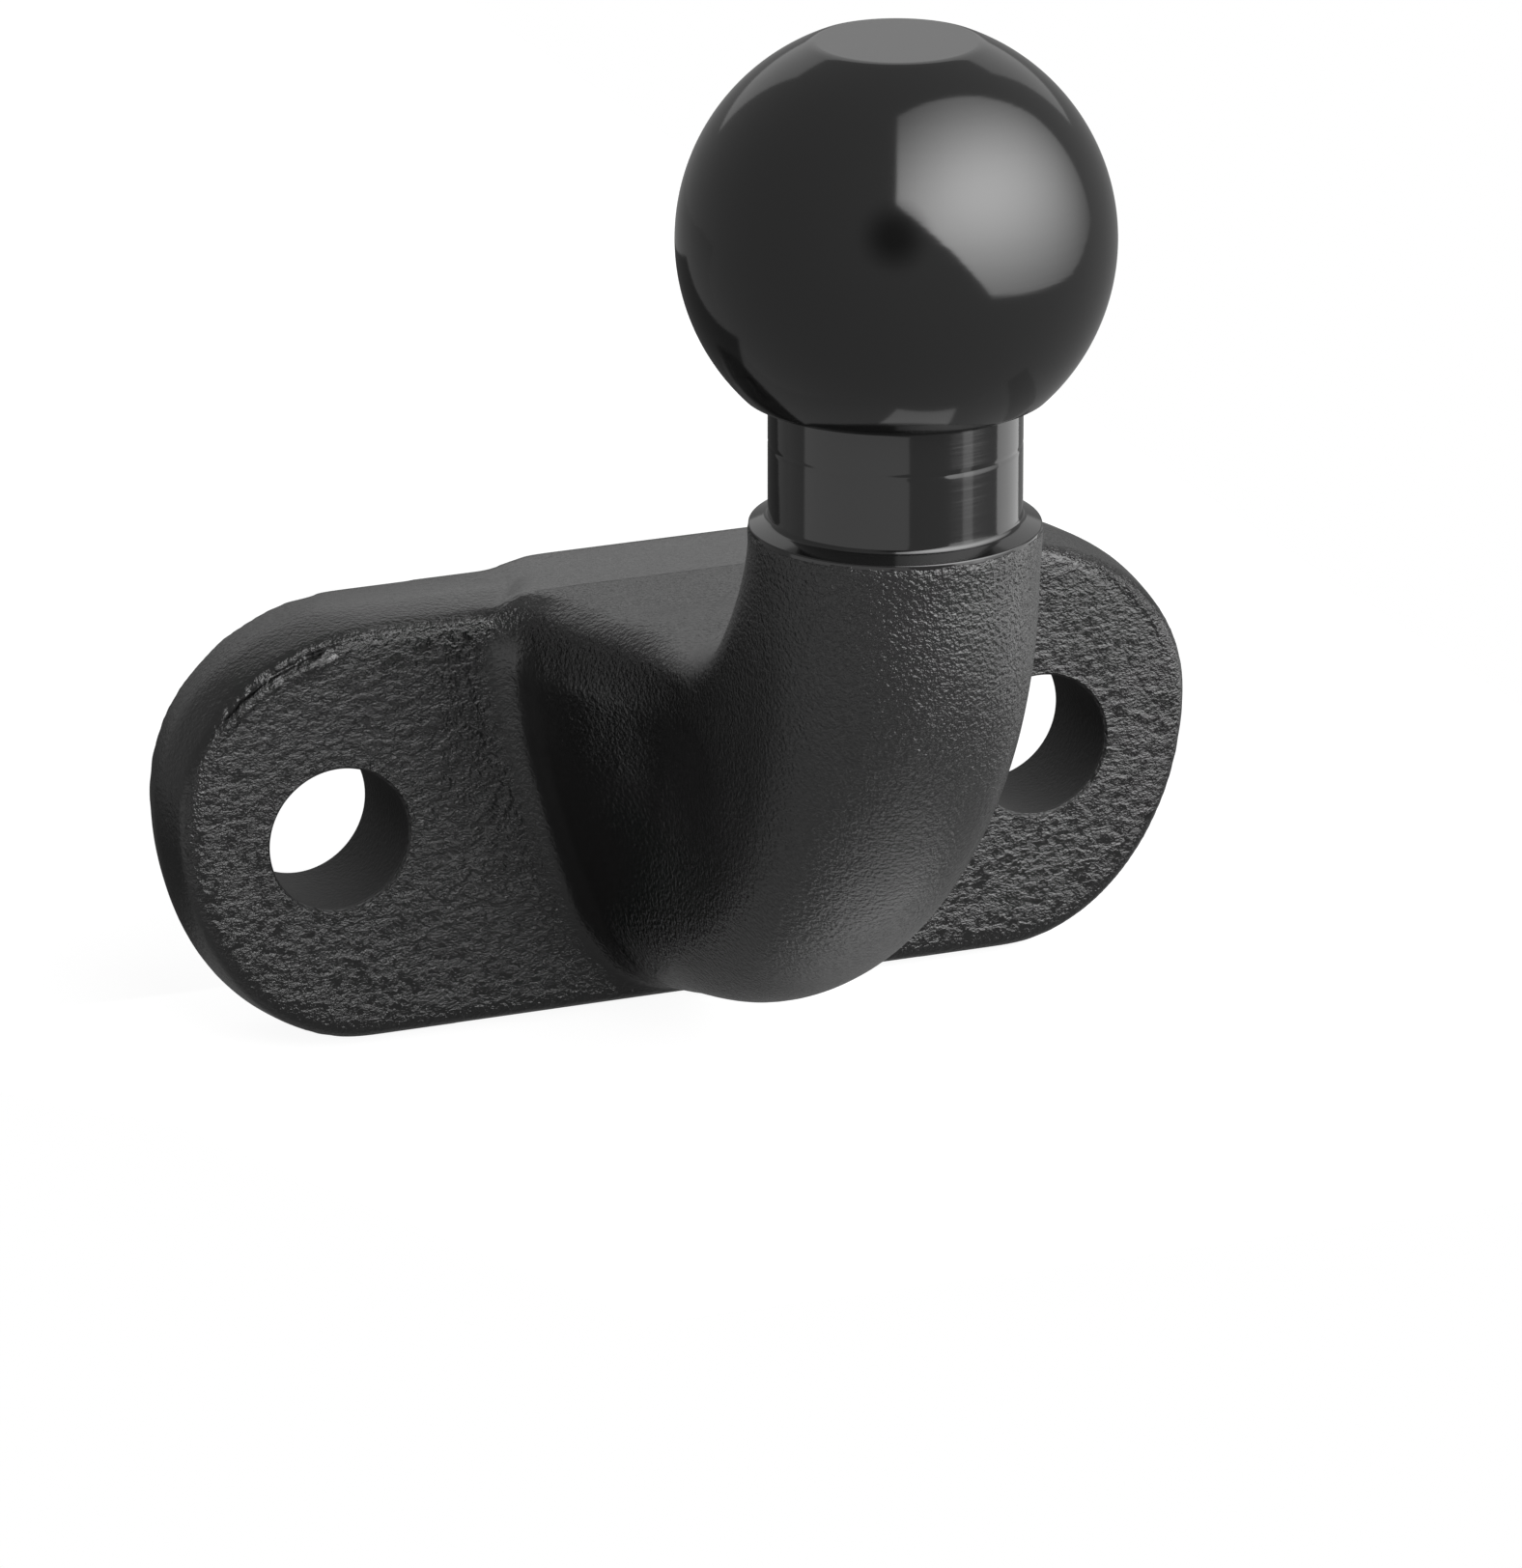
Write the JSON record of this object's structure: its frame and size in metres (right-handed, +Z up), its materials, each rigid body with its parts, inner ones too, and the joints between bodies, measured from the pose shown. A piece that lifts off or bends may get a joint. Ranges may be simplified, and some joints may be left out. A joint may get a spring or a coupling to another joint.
{
  "type": "swan neck tow ball",
  "caption": "One-piece forged coupling ball on a curved neck that runs down into an upright oblong bolt-on flange.",
  "frame": {"origin": "middle of the two bolt holes on the mounting face", "axes": "+Z up along the ball axis, +Y out of the mounting face towards the towbar, +X along the line of the bolt holes"},
  "size_m": [0.131, 0.1, 0.1345],
  "materials": {
    "forging": "gloss black paint over forged skin, machined ball, neck and bores"
  },
  "bodies": {
    "root": {"tow_ball": "forging"}
  },
  "joints": []
}
